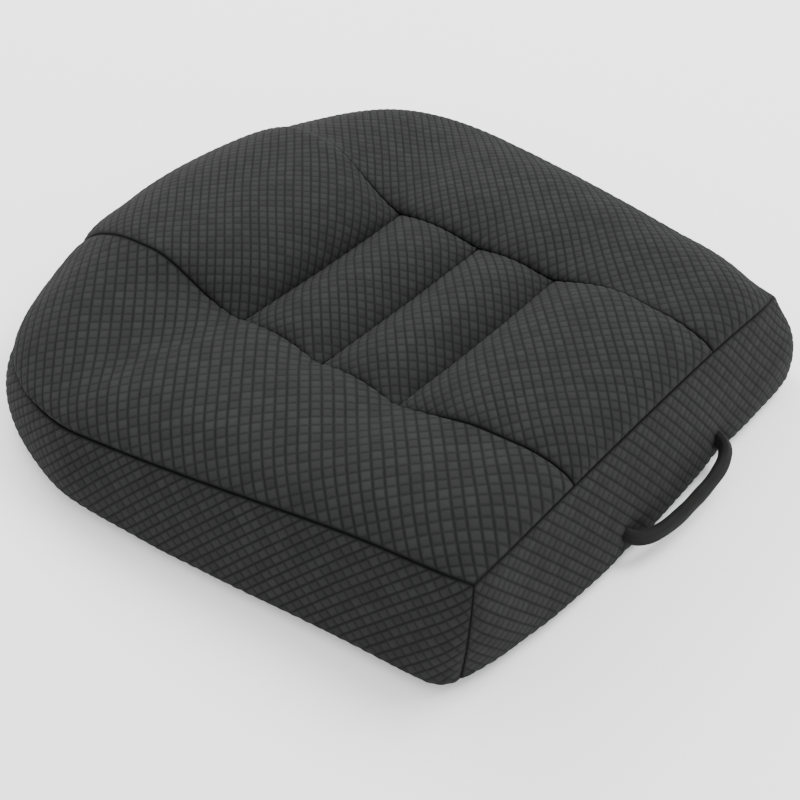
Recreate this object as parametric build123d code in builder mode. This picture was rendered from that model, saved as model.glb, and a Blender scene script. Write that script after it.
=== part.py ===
from build123d import *
from math import atan2, cos, degrees, hypot, pi, radians, sin, sqrt, tan
import os

os.makedirs("parts", exist_ok=True)

# Height-booster cushion. Millimetres. +Z up, +Y towards the rounded front edge, +X to the
# sitter's right. The origin is on the floor, in the middle of the overall box, handle included.

# Plan outline of the tapered body at floor level, before its bottom edge is rounded
FRONT_Y = 246.5            # front edge on the centre line
FRONT_R = 304.0            # radius of the front edge
SHOULDER_X = 242.5         # where the side lines would meet the front arc
FRONT_CORNER_R = 128.0
BACK_Y = -223.0            # back edge on the centre line
BACK_R = 785.0             # the back edge bows out a little
BACK_CORNER_X = 181.5
BACK_CORNER_R = 24.0

# Body section
WALL_TAPER = 17.0          # degrees that each wall leans in
BASE_ROUND = 12.0          # radius of the bottom edge
TALL = 125.0               # more than the height of the body
FAR = 260.0                # beyond the body in plan
COVER = 3.0                # cover fabric with its backing foam
WALL_ZONE = 22.0           # the boxing lies within this distance of the outline
EASE = 0.2                 # gap between the cover and the foam inside
FOAM_SPLIT = 30.0          # height where the firm base layer meets the soft top layer

# Upper surface
SEAM_BACK_Z = 84.4         # height of the edge seam at the back
SEAM_BACK_Y = -195.4
SEAM_FALL = 0.11           # the edge seam drops by this much per mm towards the front
GROOVES = (-73.6, -9.2, 63.0)
INSERT_HALF = 80.0         # half width of the centre insert between the long seams
INSERT_FLARE = 9.0
FLARE_FRONT = (60.0, 200.0)   # Y range over which the insert widens at the front
FLARE_REAR = (70.0, 195.0)    # -Y range over which it narrows at the back
VALLEY_Z = 67.0            # height of the long seams at VALLEY_Y
VALLEY_Y = -60.0
VALLEY_FALL = 0.09         # they drop by this much per mm towards the front
VALLEY_REAR_RISE = 19.0    # and rise again at both ends, over these ranges
VALLEY_REAR = (60.0, 135.0)
VALLEY_FRONT_RISE = 33.0
VALLEY_FRONT = (62.0, 140.0)
GROOVE_DROP = 3.0          # the grooves' middles lie this far below the long seams
REAR_LOBE = (25.0, 60.0)   # height of the rear lobe and its run up from the groove
FRONT_LOBE = (37.0, 75.0)
ROLL_RISE = 12.0           # height of the two rolls between the grooves
ROLL_FULLNESS = 0.7
FLANK = 45.0               # width of a bolster's inner slope
BOLSTER_RISE = 13.5        # bolster crest above the edge seam
FRONT_RISE = 17.5          # what the front of the cushion adds to that
FRONT_RANGE = (40.0, 170.0)   # Y range over which it is added
SIDE_ROLL = 46.0           # width of the rounding from the edge seam to the crest
SIDE_SOFTNESS = 1.4        # 1 is a quarter ellipse, and more is a gentler slope
FRONT_ROLL = 66.0
FRONT_SOFTNESS = 1.3
ROLL_RANGE = (60.0, 190.0)    # Y range over which the side's rounding becomes the front's
GRID_STEP = 12.0           # spacing of the points that the surface passes near
GRID_TOLERANCE = 1.0
OUTSIDE_SLOPE = 2.0        # the surface is carried on past the edge seam at this slope
OUTSIDE_DEPTH = 0.6        # down to this share of the crest's height

# Zip along the front, drawn on the leaning wall: u is outwards and v is up the wall
ZIP_Z = 22.0
COIL_HALF_ANGLE = 35.1     # degrees each side of the centre line
FRONT_HALF_ANGLE = 38.0    # the front boxing and the zip tapes end here
COIL_R = 1.4
COIL_U = -1.5              # the coils lie in the thickness of the wall
COIL_V = 2.0
TAPE_T = 0.8
TAPE_EDGE_V = 7.0          # the boxing's two edges are this far from the zip's middle
RELIEF_U = -5.4            # depth of the channel in the foam behind the slider
SLIDER_ANGLE = 34.0        # parked position, at the sitter's right
SLIDER_SPAN = 1.7          # degrees
SLIDER_V = 4.9
PLATE_T = 1.2
FLANGE_T = 0.9
PIN_U = 3.2
PIN_R = 0.5
PIN_CLEARANCE = 0.1
LUG_V = (2.0, 2.8)
PULL_LENGTH = 17.0
PULL_W = 6.0
PULL_T = 1.2
PULL_HOLE = (5.0, 2.4)
STOP_SPAN = 0.7            # degrees
STOP_GAP = 0.05            # degrees
PLATE_U = 0.4              # inner face of the slider's front plate
RELIEF_GAP = 0.8           # from the foam channel to the slider's rear plate
FLANGE_GAP = 0.4           # from the tape to the slider's turned-in edges
NECK_HALF = 0.25
PULL_GAP = 0.3             # from the pull to each lug
BARREL_WALL = 0.5          # metal round the pull's bore
CHANNEL_V = 6.5            # half height of the foam channel

# Carrying handle
HANDLE_X = 16.0            # sewn on a little off the middle
HANDLE_Z = 24.0
HANDLE_HALF = 53.0         # from its middle to each sewn end
HANDLE_HINGE_Y = -222.0
HANDLE_OUT_Y = -231.0      # apex of the strap's guide line
STRAP_W = 10.0
STRAP_T = 9.0
STRAP_DROOP = 6.0          # degrees below level
KNEE_IN = 9.0              # the strap's corners, in from its ends
KNEE_OUT = 0.72            # and this share of the way out to its apex
KNEE_R = 10.0
BOW_R = 120.0
STRAP_END_R = 4.1
STUB_W = 14.0
STUB_T = 8.5
STUB_CLEARANCE = 0.5

# Strips sewn into the pulled-down seams and held in slits in the foam
LISTING_T = 1.0
LISTING_DEPTH = 12.0
SLIT_EASE = 0.3

LEAN = tan(radians(WALL_TAPER))
WALL_COS = cos(radians(WALL_TAPER))
WALL_SIN = sin(radians(WALL_TAPER))
ARC_Y = FRONT_Y - FRONT_R
SHOULDER_Y = ARC_Y + sqrt(FRONT_R**2 - SHOULDER_X**2)
ARC_AXIS = Axis((0, ARC_Y, 0), (0, 0, 1))
BACK_CENTRE_Y = BACK_Y + BACK_R
BACK_CORNER_Y = BACK_CENTRE_Y - sqrt(BACK_R**2 - BACK_CORNER_X**2)


def ramp(value, start, end):
    """A smooth step from 0 at start to 1 at end."""
    t = min(1.0, max(0.0, (value - start) / (end - start)))
    return t * t * (3 - 2 * t)


def dome(t):
    """A quarter ellipse from 0 at t = 0 to 1 at t = 1, carried on downwards for a little below 0."""
    if t > 0:
        return sqrt(1 - (1 - min(t, 1.0))**2)
    return max(OUTSIDE_SLOPE * t, -OUTSIDE_DEPTH)


def edge_distance(x, y):
    """How far a point lies inside the plan outline at floor level."""
    x = abs(x)
    side_x = SHOULDER_X - BACK_CORNER_X
    side_y = SHOULDER_Y - BACK_CORNER_Y
    length = hypot(side_x, side_y)
    normal_x = side_y / length
    normal_y = -side_x / length
    side = (BACK_CORNER_X - x) * normal_x + (BACK_CORNER_Y - y) * normal_y
    front = FRONT_R - hypot(x, y - ARC_Y)
    back = BACK_R - hypot(x, y - BACK_CENTRE_Y)
    # centre of the front corner's arc, seen from the centre of the front arc
    across = BACK_CORNER_X * normal_x + (BACK_CORNER_Y - ARC_Y) * normal_y - FRONT_CORNER_R
    along = sqrt((FRONT_R - FRONT_CORNER_R)**2 - across**2)
    corner_x = across * normal_x - along * normal_y
    corner_y = across * normal_y + along * normal_x
    dx = x - corner_x
    dy = y - ARC_Y - corner_y
    past_side = dy * normal_x - dx * normal_y > 0
    past_front = corner_x * dy - corner_y * dx < 0
    if past_side and past_front:
        edge = FRONT_CORNER_R - hypot(dx, dy)
    else:
        edge = min(side, front)
    if edge < BACK_CORNER_R and back < BACK_CORNER_R:
        return BACK_CORNER_R - hypot(BACK_CORNER_R - edge, BACK_CORNER_R - back)
    return min(edge, back)


def seam_z(y):
    """Height of the seam that runs round the upper edge."""
    return SEAM_BACK_Z - SEAM_FALL * (y - SEAM_BACK_Y)


def insert_half(y):
    """Half width of the centre insert."""
    return INSERT_HALF + INSERT_FLARE * (ramp(y, *FLARE_FRONT) - ramp(-y, *FLARE_REAR))


def valley_z(y):
    """Height of the long seam between the insert and a bolster."""
    low = VALLEY_Z - VALLEY_FALL * (y - VALLEY_Y)
    return low + VALLEY_REAR_RISE * ramp(-y, *VALLEY_REAR) + VALLEY_FRONT_RISE * ramp(y, *VALLEY_FRONT)


def centre_z(y):
    """Height of the centre line: two lobes with two rolls between them."""
    low = VALLEY_Z - VALLEY_FALL * (y - VALLEY_Y) - GROOVE_DROP
    rear, middle, front = GROOVES
    if y < rear:
        height, run = REAR_LOBE
        return low + height * dome((rear - y) / run)
    if y > front:
        height, run = FRONT_LOBE
        return low + height * dome((y - front) / run)
    start, end = (rear, middle) if y < middle else (middle, front)
    return low + ROLL_RISE * sin(pi * (y - start) / (end - start))**ROLL_FULLNESS


def top_z(x, y):
    """Height of the cushion's upper surface."""
    edge = seam_z(y)
    inside = edge_distance(x, y) - edge * LEAN
    crest = edge + BOLSTER_RISE + FRONT_RISE * ramp(y, *FRONT_RANGE)
    half = insert_half(y)
    across = abs(x) / half
    if across < 1:
        body = valley_z(y) + (centre_z(y) - valley_z(y)) * (1 - across**4)
    else:
        rise = dome((abs(x) - half) / FLANK)
        body = valley_z(y) + (crest - valley_z(y)) * rise
    roll = SIDE_ROLL + (FRONT_ROLL - SIDE_ROLL) * ramp(y, *ROLL_RANGE)
    softness = SIDE_SOFTNESS + (FRONT_SOFTNESS - SIDE_SOFTNESS) * ramp(y, *FRONT_RANGE)
    share = dome(inside / roll)
    if share > 0:
        share **= softness
    return edge + (body - edge) * share


def top_face(drop):
    """The upper surface as one smooth face, lowered by drop."""
    steps = int(FAR / GRID_STEP)
    places = [i * GRID_STEP for i in range(-steps, steps + 1)]
    grid = [[(x, y, top_z(x, y) - drop) for x in places] for y in places]
    return Face.make_surface_from_array_of_points(grid, tol=GRID_TOLERANCE)


def outline(inset, height):
    """The plan outline of the tapered body at one height, set in all round by inset."""
    with BuildSketch(Plane.XY.offset(height)) as plan:
        with BuildLine():
            front = ThreePointArc((-SHOULDER_X, SHOULDER_Y), (0, FRONT_Y), (SHOULDER_X, SHOULDER_Y))
            back = ThreePointArc((BACK_CORNER_X, BACK_CORNER_Y), (0, BACK_Y), (-BACK_CORNER_X, BACK_CORNER_Y))
            Line(front @ 1, back @ 0)
            Line(back @ 1, front @ 0)
        make_face()
        fillet(vertices().sort_by(Axis.Y)[:2], BACK_CORNER_R)
        fillet(vertices().sort_by(Axis.Y)[-2:], FRONT_CORNER_R)
        offset(amount=-(inset + height * LEAN), mode=Mode.REPLACE)
    return plan.sketch


def body_block(inset):
    """The whole cushion as one solid, set in all round by inset."""
    with BuildPart() as block:
        extrude(outline(inset, inset), amount=TALL, taper=WALL_TAPER)
        fillet(faces().sort_by(Axis.Z)[0].edges(), BASE_ROUND - inset / 2)
        extrude(top_face(inset), amount=2 * TALL, dir=(0, 0, 1), mode=Mode.SUBTRACT)
    return block.part


def plan_region(points):
    """A tall block over a polygon in plan, kept of what is already there."""
    with BuildSketch() as plan:
        with BuildLine():
            Polyline(*points, close=True)
        make_face()
    extrude(plan.sketch, amount=2 * TALL, mode=Mode.INTERSECT)


def insert_line(side, start, end):
    """Points along one long seam, from one y position forward to another."""
    rows = sorted({start, end, *GROOVES, *range(-200, 241, 20)})
    return [(side * insert_half(y), y) for y in rows if start <= y <= end]


def direction(angle, reach=2 * FAR):
    """A point far out from the front arc's centre, at an angle clockwise from +Y."""
    return (reach * sin(radians(angle)), ARC_Y + reach * cos(radians(angle)))


def on_wall(u, v):
    """Radius and height of a place on the leaning front wall."""
    radius = FRONT_R - ZIP_Z * LEAN
    return (radius + u * WALL_COS - v * WALL_SIN, ZIP_Z + u * WALL_SIN + v * WALL_COS)


def radial_plane(angle):
    """The upright plane through the front arc's centre, at an angle clockwise from +Y."""
    a = radians(angle)
    return Plane(origin=(0, ARC_Y, 0), x_dir=(sin(a), cos(a), 0), z_dir=(cos(a), -sin(a), 0))


def wall_plane(angle, u, v):
    """A plane that faces out of the wall, with X along the zip towards the sitter's left."""
    a = radians(angle)
    radius, height = on_wall(u, v)
    origin = (radius * sin(a), ARC_Y + radius * cos(a), height)
    outwards = (sin(a) * WALL_COS, cos(a) * WALL_COS, WALL_SIN)
    return Plane(origin=origin, x_dir=(-cos(a), sin(a), 0), z_dir=outwards)


def wall_band(u_range, v_range, middle, span, mode=Mode.ADD):
    """A rectangle of the wall's section, turned about the front arc's centre."""
    u0, u1 = u_range
    v0, v1 = v_range
    with BuildSketch(radial_plane(middle + span / 2)) as section:
        with BuildLine():
            Polyline(on_wall(u0, v0), on_wall(u1, v0), on_wall(u1, v1), on_wall(u0, v1), close=True)
        make_face()
    revolve(section.sketch, axis=ARC_AXIS, revolution_arc=span, mode=mode)


def pin_plane():
    """A plane through the middle of the slider's pin, across it."""
    middle = wall_plane(SLIDER_ANGLE, PIN_U, 0)
    return Plane(origin=middle.origin, x_dir=middle.x_dir, z_dir=middle.y_dir)


def save(builder, label):
    """Label a finished piece and write it out."""
    builder.part.label = label
    export_step(builder.part, "parts/" + label + ".step")


# The block that the cover wraps, the inside of the cover, and the foam inside that
outside = body_block(0)
lining = body_block(COVER)
core = body_block(COVER + EASE)

with BuildPart() as cover:
    add(outside)
    add(lining, mode=Mode.SUBTRACT)

edge_plane = Plane(origin=(0, SEAM_BACK_Y, SEAM_BACK_Z), z_dir=(0, SEAM_FALL, 1))
bottom_plane = Plane.XY.offset(COVER)

# The space of the upright walls: below the edge seam, above the bottom seam, near the outline
with BuildPart() as walls:
    with BuildSketch(bottom_plane):
        Rectangle(2 * FAR, 2 * FAR)
    extrude(amount=TALL)
    split(bisect_by=edge_plane, keep=Keep.BOTTOM)
    extrude(outline(WALL_ZONE, 0), amount=TALL, taper=WALL_TAPER, mode=Mode.SUBTRACT)

# Centre insert of the top: a lobe at the back, two rolls and a lobe at the front
insert_panels = {
    "top_panel_rear": (-FAR, GROOVES[0]),
    "top_roll_rear": (GROOVES[0], GROOVES[1]),
    "top_roll_front": (GROOVES[1], GROOVES[2]),
    "top_panel_front": (GROOVES[2], FAR),
}
for label, (start, end) in insert_panels.items():
    with BuildPart() as insert_panel:
        add(cover.part)
        plan_region(insert_line(-1, start, end) + insert_line(1, start, end)[::-1])
        add(walls.part, mode=Mode.SUBTRACT)
        split(bisect_by=bottom_plane, keep=Keep.TOP)
    save(insert_panel, label)

# Side bolsters of the top
for label, side in (("bolster_left", -1), ("bolster_right", 1)):
    with BuildPart() as bolster:
        add(cover.part)
        plan_region(insert_line(side, -FAR, FAR) + [(side * FAR, FAR), (side * FAR, -FAR)])
        add(walls.part, mode=Mode.SUBTRACT)
        split(bisect_by=bottom_plane, keep=Keep.TOP)
    save(bolster, label)

# Boxing: the upright band of the cover, in one piece at the back and one at each side
back_corner_angle = 180 - degrees(atan2(BACK_CORNER_X, ARC_Y - BACK_CORNER_Y))
boxing_panels = {
    "boxing_rear": (back_corner_angle, 180, 360 - back_corner_angle),
    "boxing_right": (FRONT_HALF_ANGLE, 90, back_corner_angle),
    "boxing_left": (-back_corner_angle, -90, -FRONT_HALF_ANGLE),
}
for label, angles in boxing_panels.items():
    with BuildPart() as boxing:
        add(cover.part)
        plan_region([(0, ARC_Y)] + [direction(angle) for angle in angles])
        add(walls.part, mode=Mode.INTERSECT)
    save(boxing, label)

# Front boxing, in two strips with the zip between them
for label, side in (("boxing_front_upper", 1), ("boxing_front_lower", -1)):
    with BuildPart() as strip:
        add(cover.part)
        plan_region([(0, ARC_Y)] + [direction(angle) for angle in (-FRONT_HALF_ANGLE, 0, FRONT_HALF_ANGLE)])
        add(walls.part, mode=Mode.INTERSECT)
        reach = 6 * TAPE_EDGE_V
        other_side = sorted((side * TAPE_EDGE_V, -side * reach))
        wall_band((-reach, reach), other_side, 0, 2 * FRONT_HALF_ANGLE, mode=Mode.SUBTRACT)
    save(strip, label)

# Bottom of non-slip fabric
with BuildPart() as bottom_panel:
    add(cover.part)
    split(bisect_by=bottom_plane, keep=Keep.BOTTOM)
save(bottom_panel, "bottom_panel")

# Zip tapes, coils and end stops
for label, side in (("upper", 1), ("lower", -1)):
    with BuildPart() as tape:
        tape_u = (COIL_U - TAPE_T / 2, COIL_U + TAPE_T / 2)
        tape_v = sorted((side * (COIL_V + COIL_R), side * TAPE_EDGE_V))
        wall_band(tape_u, tape_v, 0, 2 * FRONT_HALF_ANGLE)
    save(tape, "zipper_tape_" + label)
    with BuildPart() as coil:
        with BuildSketch(radial_plane(COIL_HALF_ANGLE)):
            with Locations(on_wall(COIL_U, side * COIL_V)):
                Circle(COIL_R)
        revolve(axis=ARC_AXIS, revolution_arc=2 * COIL_HALF_ANGLE)
    save(coil, "zipper_coil_" + label)

with BuildPart() as zipper_stops:
    stop_u = (COIL_U - COIL_R, COIL_U + COIL_R)
    stop_v = (-(COIL_V + COIL_R), COIL_V + COIL_R)
    stop_angle = COIL_HALF_ANGLE + STOP_SPAN / 2 + STOP_GAP
    for angle in (-stop_angle, stop_angle):
        wall_band(stop_u, stop_v, angle, STOP_SPAN)
save(zipper_stops, "zipper_stops")

# Slider: a plate each side of the coils, turned-in edges, a neck between them, two lugs and a pin
front_u = (PLATE_U, PLATE_U + PLATE_T)
rear_u = (RELIEF_U + RELIEF_GAP, RELIEF_U + RELIEF_GAP + PLATE_T)
tape_gap = TAPE_T / 2 + FLANGE_GAP
with BuildPart() as zipper_slider:
    wall_band(front_u, (-SLIDER_V, SLIDER_V), SLIDER_ANGLE, SLIDER_SPAN)
    wall_band(rear_u, (-SLIDER_V, SLIDER_V), SLIDER_ANGLE, SLIDER_SPAN)
    for side in (-1, 1):
        flange_v = sorted((side * SLIDER_V, side * (SLIDER_V - FLANGE_T)))
        wall_band((COIL_U + tape_gap, front_u[0]), flange_v, SLIDER_ANGLE, SLIDER_SPAN)
        wall_band((rear_u[1], COIL_U - tape_gap), flange_v, SLIDER_ANGLE, SLIDER_SPAN)
        lug_v = sorted((side * LUG_V[0], side * LUG_V[1]))
        wall_band((front_u[1], PIN_U + 2 * PIN_R), lug_v, SLIDER_ANGLE, SLIDER_SPAN / 4)
    wall_band((rear_u[1], front_u[0]), (-NECK_HALF, NECK_HALF), SLIDER_ANGLE, SLIDER_SPAN / 4)
    with BuildSketch(pin_plane()) as pin:
        Circle(PIN_R)
    extrude(pin.sketch, amount=LUG_V[1], both=True)
save(zipper_slider, "zipper_slider")

# Pull tab, turning on the slider's pin
with BuildPart() as zipper_pull:
    with BuildSketch(wall_plane(SLIDER_ANGLE, PIN_U - PULL_T / 2, 0)) as tab:
        neck_w = 2 * (LUG_V[0] - PULL_GAP)
        tab_start = PULL_LENGTH / 4
        with Locations((tab_start, 0)):
            Rectangle(2 * tab_start, neck_w)
        with Locations(((tab_start + PULL_LENGTH) / 2, 0)):
            RectangleRounded(PULL_LENGTH - tab_start, PULL_W, PULL_W / 3)
        with Locations((PULL_LENGTH - PULL_W / 3 - PULL_HOLE[0] / 2, 0)):
            SlotOverall(*PULL_HOLE, mode=Mode.SUBTRACT)
    extrude(tab.sketch, amount=PULL_T)
    with BuildSketch(pin_plane()) as barrel:
        Circle(PIN_R + PIN_CLEARANCE + BARREL_WALL)
    extrude(barrel.sketch, amount=neck_w / 2, both=True)
    with BuildSketch(pin_plane()) as bore:
        Circle(PIN_R + PIN_CLEARANCE)
    extrude(bore.sketch, amount=neck_w, both=True, mode=Mode.SUBTRACT)
save(zipper_pull, "zipper_pull")

# Strips in the pulled-down seams: one under each groove and one under each long seam
listings = {}
for label, groove_y in zip(("rear", "middle", "front"), GROOVES):
    with BuildPart() as listing:
        top = min(top_z(0, groove_y), valley_z(groove_y)) - COVER - 2 * EASE
        with BuildSketch(Plane.XY.offset(top)):
            with Locations((0, groove_y)):
                Rectangle(2 * INSERT_HALF - LISTING_DEPTH, LISTING_T)
        extrude(amount=-LISTING_DEPTH)
    listings["groove_listing_" + label] = listing
for label, side in (("left", -1), ("right", 1)):
    with BuildPart() as listing:
        start, end = GROOVES[0], GROOVES[-1]
        top_start = valley_z(start) - COVER - 2 * EASE
        top_end = valley_z(end) - COVER - 2 * EASE
        with BuildSketch(Plane.YZ.offset(side * INSERT_HALF)):
            with BuildLine():
                ends = [(start, top_start), (end, top_end)]
                Polyline(*ends, *[(y, z - LISTING_DEPTH) for y, z in ends[::-1]], close=True)
            make_face()
        extrude(amount=LISTING_T / 2, both=True)
    listings["seam_listing_" + label] = listing
for label, listing in listings.items():
    save(listing, label)

# Firm base layer, with a channel behind the zip
with BuildPart() as foam_base:
    add(core)
    split(bisect_by=Plane.XY.offset(FOAM_SPLIT), keep=Keep.BOTTOM)
    wall_band((RELIEF_U, COVER), (-CHANNEL_V, CHANNEL_V), 0, 2 * FRONT_HALF_ANGLE, mode=Mode.SUBTRACT)
save(foam_base, "foam_base")

# Soft top layer, slit for the strips
with BuildPart() as foam_top:
    add(core)
    split(bisect_by=Plane.XY.offset(FOAM_SPLIT), keep=Keep.TOP)
    for listing in listings.values():
        box = listing.part.bounding_box()
        with BuildSketch(Plane.XY.offset(box.min.Z - SLIT_EASE)) as slit:
            with Locations((box.center().X, box.center().Y)):
                Rectangle(box.size.X + 2 * SLIT_EASE, box.size.Y + 2 * SLIT_EASE)
        extrude(slit.sketch, amount=TALL, mode=Mode.SUBTRACT)
save(foam_top, "foam_top")

# Handle ends, sewn to the rear boxing
for label, side in (("handle_end_left", -1), ("handle_end_right", 1)):
    with BuildPart() as handle_end:
        stub_y = HANDLE_HINGE_Y + STRAP_T / 2 + STUB_CLEARANCE
        with BuildSketch(Plane.XZ.offset(-stub_y)):
            with Locations((HANDLE_X + side * HANDLE_HALF, HANDLE_Z)):
                RectangleRounded(STUB_W, STUB_T, STUB_T / 3)
        extrude(amount=-STUB_W)
        add(outside, mode=Mode.SUBTRACT)
    save(handle_end, label)

# Handle strap, swept along its bow; its ends are round so that it can swing
strap_plane = Plane(
    origin=(HANDLE_X, HANDLE_HINGE_Y, HANDLE_Z),
    x_dir=(1, 0, 0),
    z_dir=(0, -sin(radians(STRAP_DROOP)), cos(radians(STRAP_DROOP))),
)
with BuildPart() as handle_strap:
    apex = HANDLE_OUT_Y - HANDLE_HINGE_Y
    with BuildLine(strap_plane) as bow:
        knee_x = HANDLE_HALF - KNEE_IN
        knee_y = apex * KNEE_OUT
        stops = [(-HANDLE_HALF, 0), (-knee_x, knee_y), (0, apex), (knee_x, knee_y), (HANDLE_HALF, 0)]
        FilletPolyline(*stops, radius=[KNEE_R, BOW_R, KNEE_R])
    with BuildSketch(Plane(origin=bow.line @ 0, z_dir=bow.line % 0)) as strap_section:
        Ellipse(STRAP_W / 2, STRAP_T / 2)
    sweep(strap_section.sketch, path=bow.line)
    with Locations(strap_plane):
        with Locations((-HANDLE_HALF, 0), (HANDLE_HALF, 0)):
            Sphere(STRAP_END_R)
save(handle_strap, "handle_strap")
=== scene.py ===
import math

import bpy
import numpy as np
from mathutils import Matrix, Vector


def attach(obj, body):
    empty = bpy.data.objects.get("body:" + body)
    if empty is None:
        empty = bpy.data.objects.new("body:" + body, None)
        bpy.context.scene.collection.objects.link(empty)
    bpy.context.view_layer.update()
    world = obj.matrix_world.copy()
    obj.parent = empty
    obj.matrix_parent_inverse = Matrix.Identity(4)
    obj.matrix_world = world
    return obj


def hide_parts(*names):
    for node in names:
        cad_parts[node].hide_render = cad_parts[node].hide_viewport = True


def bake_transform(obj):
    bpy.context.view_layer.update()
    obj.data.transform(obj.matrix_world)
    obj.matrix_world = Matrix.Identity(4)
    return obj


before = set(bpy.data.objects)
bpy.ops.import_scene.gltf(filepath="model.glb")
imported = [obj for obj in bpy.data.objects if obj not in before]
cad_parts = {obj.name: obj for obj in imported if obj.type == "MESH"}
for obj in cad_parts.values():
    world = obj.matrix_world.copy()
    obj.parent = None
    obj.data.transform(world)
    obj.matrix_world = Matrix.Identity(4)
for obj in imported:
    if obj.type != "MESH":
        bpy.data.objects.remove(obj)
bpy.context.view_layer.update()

MM = 0.001

# Plan outline and walls, in millimetres: the CAD part's driving sizes
FRONT_Y = 246.5            # front edge at floor level
FRONT_R = 304.0
SHOULDER_X = 242.5         # where the side lines would meet the front arc
FRONT_CORNER_R = 128.0
BACK_Y = -223.0
BACK_R = 785.0
BACK_CORNER_X = 181.5
BACK_CORNER_R = 24.0
TAPER = math.radians(17.0)
LEAN = math.tan(TAPER)
WALL_COS = math.cos(TAPER)
WALL_SIN = math.sin(TAPER)
BASE_ROUND = 12.0
BOTTOM_SEAM_Z = 3.0
ZIP_Z = 22.0
FOAM_SPLIT = 30.0          # height of the joint between the two foam blocks

# Seams of the cover
SEAM_BACK_Z = 84.4
SEAM_BACK_Y = -195.4
SEAM_FALL = 0.11           # slope of the upper edge seam towards the front
SEAM_CROWN = 4.0
CROWN_RANGE = (140.0, 195.0)
WAIST = 3.5                # how far the side seams draw in, between the ranges below
WAIST_START = (-195.0, -110.0)
WAIST_END = (105.0, 180.0)
BACK_SEAM_X = 156.2
GROOVES = (-73.6, -9.2, 63.0)
GROOVE_BOWS = (2.5, 0.0, 0.0)
INSERT_HALF = 80.0
INSERT_FLARE = 9.0
FLARE_FRONT = (60.0, 200.0)
FLARE_REAR = (70.0, 195.0)
INSERT_FRONT_X = 89.0
BOLSTER_CORNER_Y = 120.0   # where the bolster's outer edge turns into its front edge
CORNER_SEAM = (165.8, -197.4)
CORNER_HEADING = math.radians(40.0)
CORNER_RISE = 0.25
FRONT_HALF_ANGLE = 38.0    # degrees round the front arc, from the middle to the side seams
ZIP_EDGE = 6.1             # from the zip's middle to the fabric's folded edges

# Upper surface
VALLEY_Z = 67.5            # height of the long seams at VALLEY_Y
VALLEY_Y = -60.0
VALLEY_FALL = 0.09         # slope of the hollow's floor towards the front
VALLEY_REAR_RISE = 19.0
VALLEY_REAR = (60.0, 135.0)
VALLEY_FRONT_RISE = 33.0
VALLEY_FRONT = (62.0, 140.0)
SCALLOP = 4.5              # how far the long seams rise and draw in between the grooves
SCALLOP_IN = 2.0
GROOVE_DROP = 5.5
REAR_LOBE = (27.0, 58.0)   # rise and reach of each end lobe
FRONT_LOBE = (36.0, 75.0)
ROLL_RISE = 16.0
ROLL_FULLNESS = 0.6
FLANK = 45.0               # width of the bolsters' slope towards the insert
FLANK_STEEP = 30.0         # width of that slope's steep part
BOLSTER_RISE = 12.5
FRONT_RISE = 13.5
FRONT_RANGE = (70.0, 180.0)
SIDE_ROLL = 46.0           # how far in from its seam each edge takes to reach its full height
FRONT_ROLL = 62.0
BACK_ROLL = 36.0
ROLL_RANGE = (60.0, 190.0)
SIDE_SOFTNESS = 1.7
FRONT_SOFTNESS = 1.4
BACK_SOFTNESS = 1.3

# Walls of the visual cover
GIRTH_Z = 12.0             # where the wall meets its round foot
GIRTH_INSET = 4.2
BULGE = 2.5
CORNER_BLEND = 12.0        # reach of a corner seam's own direction along the wall

# Cover panels: mesh spacing, lattice and seams
GRID = 1.05
DENSE = 0.5
PROBE = 0.5                # half the span that slopes are measured over
INSIDE = 0.9999            # keeps samples on the insert's side of the long seams
OUTSIDE = 1.0001           # and on the bolsters' side
INSERT_SAMPLES = (301, 241)
BOLSTER_SAMPLES = (901, 331)
WALL_SAMPLES = 400
BLOCK = 8                  # fine steps to each coarse step of a panel's inner face
COVER = 2.6
CELL = 6.4
INSERT_CELL = 5.8
BOLSTER_CELL = 6.7
BOXING_CELL = 6.2
BIAS = 45.0                # degrees between the lattice and the panel's own axes
REAR_BIAS = 36.0
CELL_RISE = 0.6
STRONG = 1.0               # depth of the lattice's two sets of lines
WEAK = 0.65
SEAM_SHARP = 1.1
SEAM_SHARP_REACH = 1.4
SEAM_SOFT = 2.2
SEAM_SOFT_REACH = 9.0
CELL_REACH = 1.5
SEAM_LINE = 0.9            # half width of the dark line along a seam
CORNER_REACH = 7.0
SEAM_LIFT = SEAM_SHARP + SEAM_SOFT

# Cloth simulation
SIM_STEP = 4               # a simulated grid has every fourth line of its panel
SIM_PRESSURE = 4.0
SIM_FRAMES = 20
SIM_LIMIT = 4.0            # no point shifts further than this
SIM_ROUNDS = 10            # rounds that even out the shift

# Soft uneven places: centre, radius and push
BUMPS = (
    ((166.0, -212.0, 14.0), 62.0, (6.0, -13.0, 0.0)),
    ((205.0, 85.0, 72.0), 65.0, (-2.0, 0.0, -5.0)),
    ((-228.0, 108.0, 15.0), 40.0, (3.5, -2.0, 0.0)),
    ((-180.0, -215.0, 8.0), 25.0, (3.0, 3.0, 0.0)),
    ((174.0, -190.0, 92.0), 32.0, (-6.0, 7.0, -8.0)),
    ((-218.0, -10.0, 8.0), 95.0, (-4.0, 0.0, 0.0)),
    ((74.0, -214.0, 20.0), 12.0, (0.0, 3.0, 0.0)),
    ((-28.0, -216.0, 20.0), 12.0, (0.0, 3.0, 0.0)),
)

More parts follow.
